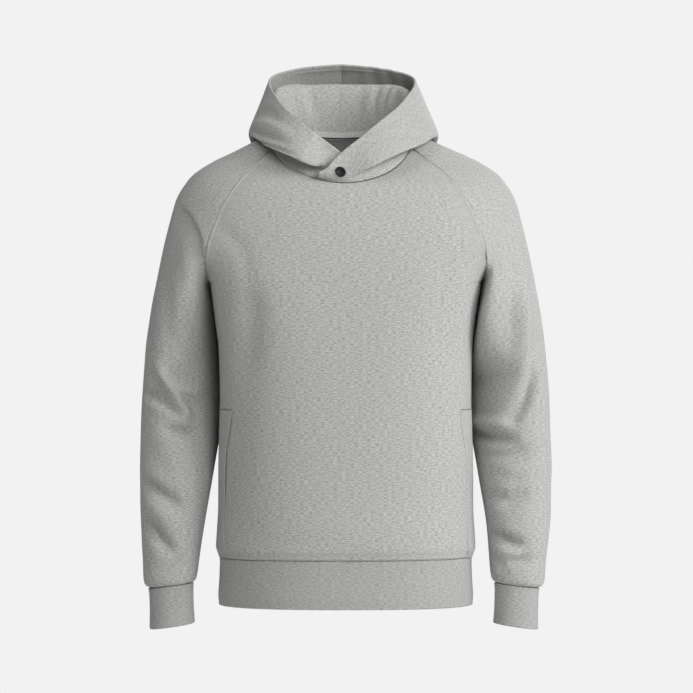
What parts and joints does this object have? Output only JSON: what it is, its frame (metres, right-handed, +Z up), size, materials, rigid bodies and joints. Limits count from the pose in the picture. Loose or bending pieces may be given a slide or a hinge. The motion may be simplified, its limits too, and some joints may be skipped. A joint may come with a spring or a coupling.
{
  "type": "pullover hoodie",
  "caption": "Pullover hooded sweatshirt with raglan sleeves, a crossover neck fastened by a press stud, side pockets, and a band at hem and cuffs, hollow as worn.",
  "frame": {"origin": "middle of the shoulders at the height of the side of the neck, where the wearer carries the garment", "axes": "+Z up, +X to the right of someone who faces the front, and the front faces -Y"},
  "size_m": [0.6112, 0.3396, 0.8454],
  "materials": {
    "fleece": "matte heather grey knit",
    "stud": "matte black"
  },
  "bodies": {
    "root": {"front": "fleece", "back": "fleece", "sleeve_right": "fleece", "sleeve_left": "fleece", "cuff_right": "fleece", "cuff_left": "fleece", "hem_band": "fleece", "hood_right": "fleece", "hood_left": "fleece", "neck_tape": "fleece", "pocket_right": "fleece", "pocket_left": "fleece", "snap_cap": "stud", "snap_plate": "stud"}
  },
  "joints": []
}
